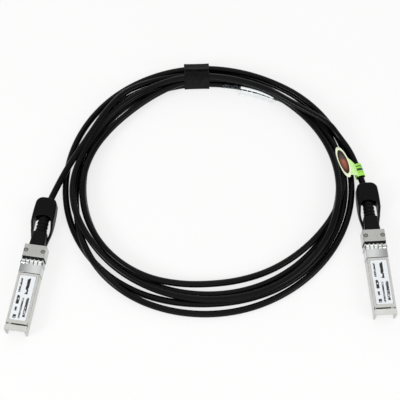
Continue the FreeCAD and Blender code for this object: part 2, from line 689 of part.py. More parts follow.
def cable_flag(ring):
    """Paper flag on the innermost strand, reaching in from the coil."""
    inner = min(coil_radii(FLAG_TURN / 45)) - CABLE_R
    plate = Part.makeBox(FLAG_L, FLAG_W + CABLE_R, FLAG_T, V(-FLAG_L / 2, -FLAG_W, FLAG_Z))
    return coil_frame(plate, inner, FLAG_TURN).cut(ring)


def tube(name, points):
    """Cable along straight runs joined by tangent arcs; prints the radii and the volume."""
    points = [V(*p) for p in points]
    edges = []
    radii = []
    at = points[0]
    for before, here, after in zip(points, points[1:], points[2:]):
        back = (before - here).normalize()
        on = (after - here).normalize()
        turn = math.pi - back.getAngle(on)
        short = min((before - here).Length, (after - here).Length)
        radius = 0.45 * short / math.tan(turn / 2)
        radii.append(round(radius, 1))
        first = here + back * 0.45 * short
        last = here + on * 0.45 * short
        half = (back + on).normalize()
        middle = here + half * (radius / math.cos(turn / 2) - radius)
        edges.append(Part.LineSegment(at, first).toShape())
        edges.append(Part.Arc(first, middle, last).toShape())
        at = last
    edges.append(Part.LineSegment(at, points[-1]).toShape())
    path = Part.Wire(edges)
    ring = Part.Wire(Part.makeCircle(CABLE_R, points[0], points[1] - points[0]))
    swept = path.makePipeShell([ring], True, False)
    ideal = math.pi * CABLE_R ** 2 * path.Length
    print(name, "radii", radii, "length", round(path.Length, 1),
          "volume over section x length", round(swept.Volume / ideal, 4))
    return swept


def lead_points(at, degrees, rest):
    """The lead's own points after a straight run out of the boot."""
    turn = math.radians(degrees)
    out = [(at[0] - y * math.sin(turn), at[1] + y * math.cos(turn), AXIS_Z)
           for y in (BOOT_L, BOOT_L + LEAD_OUT)]
    return out + list(rest)


def lead_tag():
    """Wrap round lead B with an oval flag that lies over the coil."""
    a, b = V(*LEAD_B[0]), V(*LEAD_B[1])
    along = (b - a).normalize()
    centre = a + (b - a) * TAG_ALONG
    start = centre - along * (TAG_BAND_L / 2)
    outside = CABLE_R + TAG_GAP + TAG_T
    band = Part.makeCylinder(outside, TAG_BAND_L, start, along)
    band = band.cut(Part.makeCylinder(CABLE_R + TAG_GAP, TAG_BAND_L, start, along))
    z = COIL_H + RUN_GAP
    oval = Part.Ellipse(V(0, 0, 0), *TAG_OVAL).toShape()
    oval = Part.Face(Part.Wire(oval)).extrude(V(0, 0, TAG_T))
    oval.rotate(V(0, 0, 0), V(0, 0, 1), 90 + TAG_TURN)
    oval.translate(V(centre.x - TAG_REACH[0], centre.y + TAG_REACH[1], z))
    near = centre.y - TAG_BAND_L / 4
    neck = Part.makeBox(TAG_REACH[0], TAG_BAND_L / 2, TAG_T,
                        V(centre.x - TAG_REACH[0], near, z))
    foot = centre.z + outside - TAG_T / 2
    drop = Part.makeBox(TAG_T, TAG_BAND_L / 2, z + TAG_T - foot, V(centre.x - TAG_T, near, foot))
    return oval.fuse([neck, drop, band]).removeSplitter()


def save(name, shape):
    shape.exportStep("parts/" + name + ".step")


def plug(suffix, at, turn, tab_turn):
    """All the pieces of one plug, carried to where it lies."""
    pieces = {
        "shell_lower": shell_lower(), "shell_upper": shell_upper(), "cover_rivets": rivets(),
        "emi_collar": emi_collar(), "emi_gasket": emi_gasket(), "card": card(), "card_pads": card_pads(),
        "card_chips": card_chips(), "wire_pairs": wire_pairs(), "wire_block": wire_block(),
        "ferrule": ferrule(), "strain_relief": strain_relief(), "pull_tab": pull_tab(tab_turn),
        "release_slider": slider(), "return_springs": springs(), "label": label(),
    }
    for name, piece in pieces.items():
        piece.rotate(V(0, 0, 0), V(0, 0, 1), turn)
        piece.translate(V(*at, 0))
        if not piece.isValid():
            print("not valid:", name)
        save(name + "_" + suffix, piece)
    box_all = FreeCAD.BoundBox()
    for piece in pieces.values():
        box_all.add(piece.BoundBox)
    return box_all


os.makedirs("parts", exist_ok=True)
bounds = plug("a", PLUG_A_AT, PLUG_A_TURN, TAB_A_TURN)
bounds.add(plug("b", PLUG_B_AT, PLUG_B_TURN, TAB_B_TURN))
print("plugs span x", round(bounds.XMin, 2), round(bounds.XMax, 2),
      "y", round(bounds.YMin, 2), round(bounds.YMax, 2),
      "z", round(bounds.ZMin, 2), round(bounds.ZMax, 2))
bundle = coil()
save("coil", bundle)
save("cable_tie", cable_tie())
save("cable_flag", cable_flag(bundle))
save("lead_a", tube("lead_a", lead_points(PLUG_A_AT, PLUG_A_TURN, LEAD_A)))
save("lead_b", tube("lead_b", lead_points(PLUG_B_AT, PLUG_B_TURN, LEAD_B)))
save("lead_tag", lead_tag())
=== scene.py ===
# %% [markdown]
# A direct attach copper cable, dressed in Blender.
# Two small metal plugs are joined by three metres of black twin-axial cable, wound into a loose coil
# and held by a hook-and-loop tie. The rigid pieces come finished in shape from the CAD model. This
# lesson gives them their metals and plastics, and makes the soft pieces: cable, tie, flag and tag.

# %% Load the CAD model
import json
import math

import bmesh
import bpy
import numpy as np
from mathutils import Matrix, Vector

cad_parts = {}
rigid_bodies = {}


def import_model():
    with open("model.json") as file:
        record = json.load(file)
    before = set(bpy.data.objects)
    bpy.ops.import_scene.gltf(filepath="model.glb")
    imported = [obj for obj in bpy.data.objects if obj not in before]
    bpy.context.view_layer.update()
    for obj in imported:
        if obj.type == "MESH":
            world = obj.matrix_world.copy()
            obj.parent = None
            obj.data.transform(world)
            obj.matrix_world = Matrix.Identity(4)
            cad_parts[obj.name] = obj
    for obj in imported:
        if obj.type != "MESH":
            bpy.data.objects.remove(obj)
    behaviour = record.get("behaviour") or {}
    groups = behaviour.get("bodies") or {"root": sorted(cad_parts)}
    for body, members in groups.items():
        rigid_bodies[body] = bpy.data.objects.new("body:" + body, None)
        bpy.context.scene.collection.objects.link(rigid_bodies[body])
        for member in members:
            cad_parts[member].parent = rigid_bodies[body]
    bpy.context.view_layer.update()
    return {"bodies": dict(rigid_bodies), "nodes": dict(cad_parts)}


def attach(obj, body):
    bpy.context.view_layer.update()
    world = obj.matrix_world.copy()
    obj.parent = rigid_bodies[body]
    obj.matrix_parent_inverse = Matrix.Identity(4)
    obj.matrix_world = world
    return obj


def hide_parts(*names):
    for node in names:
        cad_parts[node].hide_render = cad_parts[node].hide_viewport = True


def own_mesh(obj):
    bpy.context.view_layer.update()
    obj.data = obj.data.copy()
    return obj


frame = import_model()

# %% [markdown]
# Every length below is written in millimetres and turned to Blender's metres by one factor, because
# the maker's drawing of such a plug is in millimetres.

# %% Units and the places of the two plugs
MM = 0.001
PLUG_A_AT = (-102.9, 5.03)     # middle of the nose's face
PLUG_B_AT = (107.89, 15.75)
PLUG_A_TURN = -8.4             # degrees, seen from above
PLUG_B_TURN = 3.24
AXIS_Z = 4.75                  # height of the cable where it leaves a plug
BOOT_L = 20.0
LEAD_OUT = 8.0                 # straight run out of the boot


def plug_frame(at, degrees):
    """A plug's own axes: x across, y towards the cable, in millimetres."""
    return Matrix.Translation((at[0], at[1], 0)) @ Matrix.Rotation(math.radians(degrees), 4, "Z")


PLUGS = {"a": plug_frame(PLUG_A_AT, PLUG_A_TURN), "b": plug_frame(PLUG_B_AT, PLUG_B_TURN)}
print("noses at", [[round(c, 1) for c in m.translation] for m in PLUGS.values()])

# %% [markdown]
# The camera is a long lens above and in front of the table, looking down at the middle of the coil.
# A long lens keeps both plugs nearly square to the frame. It could be aimed by eye in the viewport,
# but a written place and aim give the same view every time.

# %% Camera
CAMERA_AT = (-0.85, -243.2, 543.9)
CAMERA_AIM = (-0.85, 41.3, 0.0)
CAMERA_LENS = 85.2             # on a sensor 36 mm wide

camera_data = bpy.data.cameras.new("camera")
camera_data.lens = CAMERA_LENS
camera_data.sensor_width = 36.0
camera = bpy.data.objects.new("camera", camera_data)
bpy.context.scene.collection.objects.link(camera)
camera.location = Vector(CAMERA_AT) * MM
camera.rotation_euler = (Vector(CAMERA_AIM) - Vector(CAMERA_AT)).to_track_quat("-Z", "Y").to_euler()
bpy.context.scene.camera = camera
print("camera stands", round(camera.location.length * 1000), "mm from the origin")

# %% [markdown]
# The cable is one curve from boot to boot. Its two leads are a few listed points. The coil
# is five turns that differ in size and fan out away from the tie, so each turn has its own radius at
# eight places, read off round the coil like the hours of a clock.

# %% The cable's route in plan
CABLE_D = 4.2
CABLE_R = CABLE_D / 2
COIL_AT = (5.15, 53.3)
COIL_R = (
    (84.4, 90.1, 87.0, 86.6, 84.6, 91.1, 93.2, 92.0),
    (85.7, 88.0, 92.2, 90.0, 91.3, 94.0, 85.6, 86.8),
    (80.0, 82.5, 86.8, 80.8, 78.6, 81.4, 82.6, 81.8),
    (77.6, 82.3, 86.6, 75.4, 72.1, 82.9, 82.0, 74.4),
    (78.2, 80.6, 83.4, 85.3, 83.0, 83.6, 89.8, 82.4),
)
COIL_IN_R = 87.6               # an eighth of a turn before the first turn
COIL_OUT_R = (77.1, 79.4)      # end of the last turn and an eighth after it
STEPS = 3                      # points to each eighth of a turn
LEAD_A = ((-95.7, 41.9, 5.0), (-90.3, 55.2, 5.6), (-85.3, 65.8, 6.2), (-79.9, 76.0, 6.3))
LEAD_B = ((104.4, 52.2, 4.8), (101.6, 63.5, 5.2), (97.6, 75.5, 5.7), (90.9, 86.5, 6.1),
          (84.6, 94.3, 6.2))


def on_coil(radius, degrees, z):
    """A point of the coil, counted clockwise from the side away from the viewer."""
    turn = math.radians(degrees)
    return (COIL_AT[0] + radius * math.sin(turn), COIL_AT[1] + radius * math.cos(turn), z)


def smooth(values, at):
    """Catmull-Rom curve through evenly spaced values, read at a place counted in steps."""
    i = min(int(at), len(values) - 2)
    t = at - i
    a, b = values[max(i - 1, 0)], values[i]
    c, d = values[i + 1], values[min(i + 2, len(values) - 1)]
    return 0.5 * (2 * b + (c - a) * t + (2 * a - 5 * b + 4 * c - d) * t ** 2
                  + (3 * b - a - 3 * c + d) * t ** 3)


def out_of_boot(letter):
    """The boot's end and the end of the straight run out of it."""
    ends = [PLUGS[letter] @ Vector((0, y, AXIS_Z)) for y in (BOOT_L, BOOT_L + LEAD_OUT)]
    return [tuple(end) for end in ends]


radii = [COIL_IN_R] + [r for turn in COIL_R for r in turn] + list(COIL_OUT_R)
half_step = math.radians(45 / STEPS)
swell = 1 / (0.75 + 0.25 * math.cos(half_step))   # the spline runs inside its points by this much
lead_in = out_of_boot("a") + list(LEAD_A)
turns = [on_coil(smooth(radii, k / STEPS) * swell, k * 45 / STEPS - 45, CABLE_R)
         for k in range((len(radii) - 1) * STEPS + 1)]
lead_out = list(reversed(out_of_boot("b") + list(LEAD_B)))
print("route points", len(lead_in), "+", len(turns), "+", len(lead_out))

# %% [markdown]
# Seen from above the turns cross and share places, so they can't all lie on the table. A real bundle
# sorts itself out: a later turn rides over an earlier one, neighbours push each other aside, and the
# stiff cable bridges the gaps. The next cell repeats that by hand: it lets the points sink, pushes
# crossing runs apart, and evens out sharp bends, a few hundred times. A physics cloth or rope would
# do it too, but this is quicker and gives the same result every time.

# %% Let the turns settle on each other
ROUNDS = 400
SINK = 0.04                    # millimetres a round
EVEN = 0.15                    # share of a bend that is evened out in a round
HOLD = 0.03                    # share of the way back to the place in plan
BESIDE = 0.6                   # farther apart than this share of a diameter, they lie side by side
TIE_TURN = -5.8
TIE_LIFT = 1.0                 # the strap's thickness under the bundle
PER_RUN = 3                    # samples of the spline to each point


def spline_weights(count):
    """Shares of the route's points in samples along its quadratic spline."""
    eye = np.eye(count)
    rows = []
    for i in range(count - 2):
        start = eye[0] if i == 0 else (eye[i] + eye[i + 1]) / 2
        end = eye[-1] if i == count - 3 else (eye[i + 1] + eye[i + 2]) / 2
        for k in range(PER_RUN):
            t = k / PER_RUN
            rows.append((1 - t) ** 2 * start + 2 * t * (1 - t) * eye[i + 1] + t * t * end)
    return np.array(rows + [eye[-1]])


def settle(points, fixed_first, fixed_last):
    """Moves the loose points until no run lies inside another."""
    place = points.copy()
    weights = spline_weights(len(points))
    share = weights.sum(0)[:, None]
    samples = weights @ points
    count = np.arange(len(samples))
    plan = np.hypot(samples[:, None, 0] - samples[None, :, 0], samples[:, None, 1] - samples[None, :, 1])
    later, earlier = np.where((count[:, None] - count[None] > 2 * PER_RUN) & (plan < 3 * CABLE_D))
    above = np.where(earlier < (fixed_first + 2) * PER_RUN, -1.0, 1.0)
    angle = np.degrees(np.arctan2(points[:, 0] - COIL_AT[0], points[:, 1] - COIL_AT[1]))
    from_tie = np.abs((angle - TIE_TURN + 180) % 360 - 180)
    floor = CABLE_R + TIE_LIFT * np.clip((24 - from_tie) / 14, 0, 1)
    bend = points[1:-1] - (points[:-2] + points[2:]) / 2
    bend[:, 2] = 0
    for turn in range(ROUNDS):
        samples = weights @ place
        between = samples[later] - samples[earlier]
        level = np.hypot(between[:, 0], between[:, 1]) + 1e-9
        apart = np.hypot(level, between[:, 2])
        beside = level > BESIDE * CABLE_D
        push = between * np.where(beside, np.maximum(CABLE_D - apart, 0) / apart / 2, 0)[:, None]
        rise = np.sqrt(np.maximum(CABLE_D ** 2 - level ** 2, 0)) - above * between[:, 2]
        push[:, 2] += np.where(beside, 0, above * np.maximum(rise, 0) / 2)
        moved = np.zeros_like(samples)
        np.add.at(moved, later, push)
        np.add.at(moved, earlier, -push)
        place += weights.T @ moved / share
        if turn < ROUNDS * 0.9:
            place[:, 2] -= SINK
            place[:, :2] += HOLD * (points[:, :2] - place[:, :2])
            place[1:-1] -= EVEN * (place[1:-1] - (place[:-2] + place[2:]) / 2 - bend)
        place[:, 2] = np.maximum(place[:, 2], floor)
        place[:fixed_first] = points[:fixed_first]
        place[-fixed_last:] = points[-fixed_last:]
    return place


route = settle(np.array(lead_in + turns + lead_out), len(lead_in), len(lead_out) - 1)
print("heights of the route, mm", round(route[:, 2].min(), 2), "to", round(route[:, 2].max(), 2))

# %% [markdown]
# The route becomes one NURBS curve with a round bevel. A curve keeps the tube exactly round along
# its whole length, and its centre line can be read back later for the pieces that sit on it.

# %% The cable as one curve
def new_curve(name, points, bevel):
    data = bpy.data.curves.new(name, "CURVE")
    data.dimensions = "3D"
    spline = data.splines.new("NURBS")
    spline.points.add(len(points) - 1)
    for point, place in zip(spline.points, points):
        point.co = (*[c * MM for c in place], 1.0)
    spline.order_u = 3
    spline.use_endpoint_u = True
    data.resolution_u = 6
    data.bevel_depth = bevel * MM
    data.bevel_resolution = 5
    made = bpy.data.objects.new(name, data)
    bpy.context.scene.collection.objects.link(made)
    return made


cable = new_curve("cable", route, CABLE_R)
thin = new_curve("centre_line", route, 0.0)
line = bpy.data.meshes.new_from_object(thin.evaluated_get(bpy.context.evaluated_depsgraph_get()))
centre = np.array([v.co for v in line.vertices]) / MM
bpy.data.objects.remove(thin)
runs = np.linalg.norm(np.diff(centre, axis=0), axis=1)
cable_length = runs.sum() * MM
print("cable length, m", round(cable_length, 3), "samples", len(centre))

# %% [markdown]
# Colours are chosen as sRGB hex codes, the way a paint or plastics chart gives them. Blender's
# sockets want linear light, so one function converts them. A second adds a node with its settings
# and links. The short ones after it wrap the nodes that come up again and again.

# %% Helpers for materials
def linear(code):
    """An sRGB hex code as linear red, green, blue and a full alpha."""
    parts = [int(code[i:i + 2], 16) / 255 for i in (1, 3, 5)]
    return tuple(c / 12.92 if c <= 0.04045 else ((c + 0.055) / 1.055) ** 2.4 for c in parts) + (1.0,)


def add(tree, kind, inputs=None, **settings):
    """Adds a node; inputs are values or other nodes' outputs, settings its own properties."""
    made = tree.nodes.new(kind)
    for name, value in settings.items():
        setattr(made, name, value)
    for key, value in (inputs or {}).items():
        if isinstance(value, bpy.types.NodeSocket):
            tree.links.new(value, made.inputs[key])
        else:
            made.inputs[key].default_value = value
    return made


def ramp(tree, value, stops):
    """A colour ramp through stops, each a place from 0 to 1 and a colour."""
    made = add(tree, "ShaderNodeValToRGB", {"Fac": value})
    marks = made.color_ramp.elements
    for end in (0, -1):
        marks[end].position, marks[end].color = stops[end]
    for at, colour in stops[1:-1]:
        marks.new(at).color = colour
    return made


def start(name, **values):
    """A new material and its node tree, with the shader's plain values set on its own sockets."""
    material = bpy.data.materials.new(name)
    material.use_nodes = True
    tree = material.node_tree
    for key, value in values.items():
        tree.nodes["Principled BSDF"].inputs[key.replace("_", " ")].default_value = value
    return material, tree


def dress(tree, colour, roughness=None, normal=None):
    """Links what was made to the shader."""
    shader = tree.nodes["Principled BSDF"]
    for name, value in (("Base Color", colour), ("Roughness", roughness), ("Normal", normal)):
        if value is not None:
            tree.links.new(value, shader.inputs[name])


def maths(tree, operation, *values):
    """What a Math node makes of its values."""
    return add(tree, "ShaderNodeMath", dict(enumerate(values)), operation=operation).outputs[0]


def vector_maths(tree, operation, *values):
    """The Vector Math node that works on its values."""
    return add(tree, "ShaderNodeVectorMath", dict(enumerate(values)), operation=operation)


def blend(tree, share, first, second):
    """A colour between two, each a hex code or another node's output."""
    first, second = (linear(c) if isinstance(c, str) else c for c in (first, second))
    return add(tree, "ShaderNodeMix", {"Factor": share, "A": first, "B": second},
               data_type="RGBA").outputs["Result"]


def noise(tree, at, scale, detail=2.0):
    """Soft uneven patches."""
    return add(tree, "ShaderNodeTexNoise", {"Vector": at, "Scale": scale, "Detail": detail}).outputs[0]


def rescale(tree, value, low, high, to_low=0.0, to_high=1.0):
    """A value carried from one range to another and kept inside it."""
    return add(tree, "ShaderNodeMapRange", {"Value": value, "From Min": low, "From Max": high,
                                            "To Min": to_low, "To Max": to_high}).outputs[0]


def bump(tree, height, strength, distance, normal=None, **settings):
    """The way the surface faces, bent by a height of so many millimetres."""
    inputs = {"Height": height, "Strength": strength, "Distance": distance * MM}
    if normal is not None:
        inputs["Normal"] = normal
    return add(tree, "ShaderNodeBump", inputs, **settings).outputs[0]


def per_mm(size):
    """Scale of a pattern whose grains are size millimetres wide."""
    return 1 / (size * MM)


print("black at #101010 is", round(linear("#101010")[0], 4), "in linear light")

# %% [markdown]
# **The cable's jacket** is PVC, extruded through a round die. Extruding leaves a satin skin with
# faint lines along the cable, and the soft plastic scuffs a little where turns rub. The lines use
# the curve's own UV: u runs along the cable and v round it.

# %% Extruded PVC
JACKET_LINE = 0.45             # mm between die lines, drawn coarser than the real ones
JACKET_LINE_L = 60.0           # mm along the cable over which a die line changes
SCUFF = 9.0                    # mm across a scuffed patch


def extruded_pvc():
    material, tree = start("extruded_pvc", Specular_IOR_Level=0.12)
    uv = add(tree, "ShaderNodeUVMap")
    stretch = (cable_length / MM / JACKET_LINE_L, math.pi * CABLE_D / JACKET_LINE, 1.0)
    lines = noise(tree, vector_maths(tree, "MULTIPLY", uv.outputs[0], stretch).outputs[0], 1.0)
    scuffs = noise(tree, add(tree, "ShaderNodeTexCoord").outputs["Object"], per_mm(SCUFF), 3.0)
    dress(tree, blend(tree, scuffs, "#040405", "#0B0B0C"), rescale(tree, scuffs, 0.3, 0.7, 0.16, 0.28),
          bump(tree, lines, 0.25, 0.05))
    return material


jacket = extruded_pvc()
cable.data.materials.append(jacket)
print("made", jacket.name)

# %% [markdown]
# **The shells** are die-cast zinc, tumbled and nickel plated. The casting leaves a fine orange peel
# under the plating, the plating makes it a warm light grey mirror with soft edges. A Bevel node
# rounds the corners for the light only, so that edges catch a thin bright line.

# %% Metals
# Gaps, side walls and corners of the metals are darkened with painted shade in their colour.
EDGE_R = 0.4                   # mm, rounding of a tumbled edge, drawn larger so that it shows
GAP_REACH = 0.9                # mm, how far the shade of a gap reaches
WALL_SHADE_SHARE = 0.74              # painted shade: side walls are drawn darker than the top
GAP_SHADE_TONE = "#0C0C0B"           # painted shade: what a gap darkens to


def metal(name, dark, light, rough, grain, stretch=(1.0, 1.0, 1.0), depth=0.01, edge=EDGE_R, crown=0.0,
          rear_top_tone=1.0, rim=1.0):
    """A bare or plated metal: two tones, a grain in mm and how far it is drawn out, painted shade in
    crevices.

    crown is how many mm a strip bows up across its width. The next is how bright the upward faces at
    the end towards the cable are, and rim how bright the corners are: painted shade along the edges."""
    material, tree = start(name, Metallic=1.0)
    place = add(tree, "ShaderNodeTexCoord").outputs
    inside = add(tree, "ShaderNodeSeparateXYZ", {0: place["Generated"]}).outputs
    facing = add(tree, "ShaderNodeNewGeometry").outputs["True Normal"]
    upright = add(tree, "ShaderNodeSeparateXYZ", {0: facing}).outputs["Z"]
    drawn = vector_maths(tree, "MULTIPLY", place["Object"], stretch).outputs[0]
    fine = noise(tree, drawn, per_mm(grain), 3.0)
    broad = noise(tree, place["Object"], per_mm(8.0))
    # painted shade: ambient occlusion darkens the colour in crevices and narrow gaps
    gaps = add(tree, "ShaderNodeAmbientOcclusion", {"Distance": GAP_REACH * MM}, samples=8)
    corner = add(tree, "ShaderNodeBevel", {"Radius": edge * MM}, samples=4).outputs[0]
    # painted shade: faces that turn away from upward are drawn darker
    bright = maths(tree, "MULTIPLY", rescale(tree, gaps.outputs["AO"], 0.4, 0.9, 0.15, 1.0),
                   rescale(tree, upright, 0.2, 0.8, WALL_SHADE_SHARE, 1.0))
    # painted shade: corners, where the rounded normal turns from the face, are drawn darker
    if rim < 1.0:
        turned = vector_maths(tree, "DOT_PRODUCT", corner, facing).outputs["Value"]
        bright = maths(tree, "MULTIPLY", bright, rescale(tree, turned, 0.8, 0.98, rim, 1.0))
    # upward faces near the end towards the cable are drawn darker
    if rear_top_tone < 1.0:
        near_rear_end = rescale(tree, inside["Y"], 0.76, 0.86)
        above = rescale(tree, upright, 0.3, 0.8, 0.0, near_rear_end)
        bright = maths(tree, "MULTIPLY", bright, rescale(tree, above, 0.0, 1.0, 1.0, rear_top_tone))
    shape = corner
    if crown:
        off = maths(tree, "SUBTRACT", inside["X"], 0.5)
        shape = bump(tree, maths(tree, "MULTIPLY", off, off), 1.0, 4 * crown, corner, invert=True)
    dress(tree, blend(tree, bright, GAP_SHADE_TONE, blend(tree, broad, dark, light)),
          rescale(tree, fine, 0.25, 0.75, rough - 0.06, rough + 0.06), bump(tree, fine, 0.3, depth, shape))
    return material


nickel = metal("nickel_plated_zinc", "#E0E0DC", "#F2F2EE", 0.3, 0.5, depth=0.02, rear_top_tone=0.76,
               rim=0.5)
strip = metal("rolled_stainless_strip", "#E2E6E4", "#FAFCFB", 0.2, 0.35,
              stretch=(0.12, 1.0, 1.0), edge=0.4, crown=0.8, rim=0.55)
stamped = metal("stamped_stainless", "#B0B1AF", "#C6C7C5", 0.3, 0.4, stretch=(1.0, 0.15, 1.0))
rivet_steel = metal("turned_steel", "#8C8C89", "#A3A3A0", 0.3, 0.3, edge=0.15)
wire_steel = metal("drawn_spring_wire", "#8F9090", "#B2B3B3", 0.28, 0.2, edge=0.03)
brass = metal("drawn_brass", "#B8934F", "#CDAA66", 0.36, 0.4)
gold = metal("gold_plated_copper", "#D9AE5A", "#E8C477", 0.24, 0.3, edge=0.02)
foil = metal("aluminised_film", "#B9BEC4", "#D3D7DB", 0.3, 0.8, depth=0.08, edge=0.03)
print("metals:", [m.name for m in (nickel, strip, stamped, rivet_steel, wire_steel, brass, gold, foil)])

# %% [markdown]
# **Boots and pull tabs** are moulded in a black thermoplastic elastomer. The mould is spark eroded,
# which leaves an even fine grain, and the plastic itself is matt. The grain is drawn at 0.25 mm,
# about twice the real one, so that it shows.

# %% Moulded plastics and the circuit card
def moulded(name, dark, light, rough, grain, depth, edge=0.25, shine=0.5):
    """A moulded or laminated plastic: two tones close together, and a grain in mm."""
    material, tree = start(name, Specular_IOR_Level=shine)
    place = add(tree, "ShaderNodeTexCoord").outputs["Object"]
    fine = noise(tree, place, per_mm(grain))
    broad = noise(tree, place, per_mm(12.0))
    corner = add(tree, "ShaderNodeBevel", {"Radius": edge * MM}, samples=4).outputs[0]
    dress(tree, blend(tree, broad, dark, light),
          rescale(tree, fine, 0.3, 0.7, rough - 0.05, rough + 0.05), bump(tree, fine, 0.4, depth, corner))
    return material


elastomer = moulded("moulded_elastomer", "#050506", "#0C0C0D", 0.42, 0.25, 0.03, shine=0.12)
nylon = moulded("moulded_nylon", "#050506", "#0B0B0C", 0.4, 0.25, 0.03, shine=0.1)
chip_resin = moulded("moulded_epoxy_resin", "#19191B", "#232325", 0.55, 0.12, 0.01, edge=0.05)
hot_melt = moulded("overmoulded_polyamide", "#CFC9B6", "#DDD8C8", 0.42, 1.2, 0.04, edge=0.3)
# The gasket is near black: a rubber gasket's own black, and painted shade for the slot behind the nose.
rubber_and_slot_shade = moulded("moulded_silicone_rubber", "#09090A", "#121213", 0.6, 0.2, 0.01, edge=0.05, shine=0.2)
board = moulded("glass_epoxy_laminate", "#17502E", "#206338", 0.28, 0.5, 0.01, edge=0.04)
print("plastics:", [m.name for m in (elastomer, nylon, chip_resin, hot_melt, rubber_and_slot_shade, board)])

# %% [markdown]
# Each CAD piece now gets its finish. The same list serves both plugs, since they come off one line.

# %% Dress the CAD pieces
FINISH = {
    "shell_lower": nickel, "shell_upper": nickel, "cover_rivets": rivet_steel,
    "emi_collar": strip, "emi_gasket": rubber_and_slot_shade, "card": board, "card_pads": gold, "card_chips": chip_resin,
    "wire_pairs": foil, "wire_block": hot_melt, "ferrule": brass,
    "strain_relief": elastomer, "pull_tab": nylon, "release_slider": stamped,
    "return_springs": wire_steel,
}
for part, material in FINISH.items():
    for letter in PLUGS:
        node = frame["nodes"][part + "_" + letter]
        if not node.material_slots:
            node.data.materials.append(material)
        for place in node.material_slots:
            place.material = material
print("dressed", 2 * len(FINISH), "CAD pieces")

# %% [markdown]
# Thin pieces such as straps and labels are easiest as a grid of points that is given its thickness
# afterwards. The helper below joins rows of points into quads, and a Solidify modifier thickens it.

# %% Helpers for thin pieces
def add_piece(name, mesh, material, *nodes):
    """Puts a mesh drawn in millimetres in the scene, on the cable's body, for its CAD nodes."""
    mesh.transform(Matrix.Scale(MM, 4))
    mesh.materials.append(material)
    made = bpy.data.objects.new(name, mesh)
    bpy.context.scene.collection.objects.link(made)
    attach(made, ROOT)
    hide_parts(*nodes)
    return made


def grid(name, rows):
    """A sheet of quads through rows of points, with UVs in millimetres along and across it."""
    rows = [[Vector(p) for p in row] for row in rows]
    mesh = bmesh.new()
    layer = mesh.loops.layers.uv.new("UVMap")
    made = [[mesh.verts.new(p) for p in row] for row in rows]
    along = [0.0]
    for a, b in zip(rows, rows[1:]):
        along.append(along[-1] + (b[len(b) // 2] - a[len(a) // 2]).length)
    across = [0.0]
    middle = rows[len(rows) // 2]
    for a, b in zip(middle, middle[1:]):
        across.append(across[-1] + (b - a).length)
    for i in range(len(rows) - 1):
        for j in range(len(rows[0]) - 1):
            face = mesh.faces.new((made[i][j], made[i + 1][j], made[i + 1][j + 1], made[i][j + 1]))
            face.smooth = True
            for loop, (p, q) in zip(face.loops, ((i, j), (i + 1, j), (i + 1, j + 1), (i, j + 1))):
                loop[layer].uv = (along[p], across[q])
    data = bpy.data.meshes.new(name)
    mesh.to_mesh(data)
    mesh.free()
    return data


def thicken(piece, thickness, edge=0.0):
    """Gives a sheet its thickness, to both sides of its points."""
    solid = piece.modifiers.new("thickness", "SOLIDIFY")
    solid.thickness = thickness * MM
    solid.offset = 0.0
    if edge:
        rounding = piece.modifiers.new("edge", "BEVEL")
        rounding.width = edge * MM
        rounding.segments = 2


ROOT = next(body for body in frame["bodies"] if not body.startswith("release"))
print("pieces of the cable ride on", ROOT)

# %% [markdown]
# ** The return springs** are two small coils of drawn steel wire in each nose. They push the release
# slider back, and they get shorter when the tab is pulled. A rigid piece can't do that. Here each
# coil's mesh is only copied into a piece of its own, on the cable's body.

# %% Return springs
for letter, plug in PLUGS.items():
    node = frame["nodes"]["return_springs_" + letter]
    coils = node.data.copy()
    coils.transform(Matrix.Scale(1 / MM, 4))
    coils.materials.clear()
    wound = add_piece("wound_springs_" + letter, coils, wire_steel, node.name)
    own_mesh(wound)

# %% [markdown]
# **The tie** is a strip of hook-and-loop tape: woven nylon with loops on the outside, wrapped once
# round the bundle and pressed onto itself on top. It takes its shape from the cables inside, so its
# section is an outline drawn round them, a little slack between one cable and the next.

# %% Hook-and-loop tie
TIE_L = 17.0                   # along the cable
TIE_T = 0.9
TIE_SLACK = 0.3
TIE_SQUARE = -1.7              # the strap lies a little out of square with the bundle
TIE_MIDDLE_R = 82.2
TIE_LAP = 10.0                 # of the end over the start, on top
LAP_LIFT = 1.4                 # of the free end
OUTLINE_STEPS = 96
STRAP_STEP = 0.5               # between points round the strap
STRAP_ACROSS = 14              # quads over its width


def bundle_section():
    """Radius and height of every pass of the cable under the tie."""
    angle = np.degrees(np.arctan2(centre[:, 0] - COIL_AT[0], centre[:, 1] - COIL_AT[1])) - TIE_TURN
    near = []
    for i in range(len(centre) - 1):
        if angle[i] <= 0 < angle[i + 1] and angle[i + 1] - angle[i] < 90:
            share = -angle[i] / (angle[i + 1] - angle[i])
            p = centre[i] + share * (centre[i + 1] - centre[i])
            near.append((math.hypot(p[0] - COIL_AT[0], p[1] - COIL_AT[1]), p[2]))
    return near


def taut_outline(discs, reach):
    """A loop drawn round discs of one radius, its corners rounded as they are, as points."""
    directions = [2 * math.pi * k / OUTLINE_STEPS for k in range(OUTLINE_STEPS)]
    points = []
    for a in directions:
        best = max(discs, key=lambda d: d[0] * math.cos(a) + d[1] * math.sin(a))
        points.append(Vector((best[0] + reach * math.cos(a), best[1] + reach * math.sin(a))))
    return points


def even_steps(points, step):
    """The same line again with points a step apart."""
    made = [points[0]]
    left = step
    for a, b in zip(points, points[1:]):
        length = (b - a).length
        at = 0.0
        while length - at >= left:
            at += left
            made.append(a + (b - a) * (at / length))
            left = step
        left -= length - at
    return made


discs = bundle_section()
loop = taut_outline(discs, CABLE_R + TIE_SLACK + TIE_T / 2)
top = max(range(OUTLINE_STEPS), key=lambda k: loop[k].y + 0.6 * loop[k].x)
loop = loop[top:] + loop[:top + 1]
loop = even_steps(loop, STRAP_STEP)
lap_steps = int(TIE_LAP / STRAP_STEP)
lap = [point + Vector((0, TIE_T + LAP_LIFT * (k / lap_steps) ** 4))
       for k, point in enumerate(loop[:lap_steps])]
profile = [Vector((point.x, max(point.y, TIE_T / 2))) for point in loop + lap]


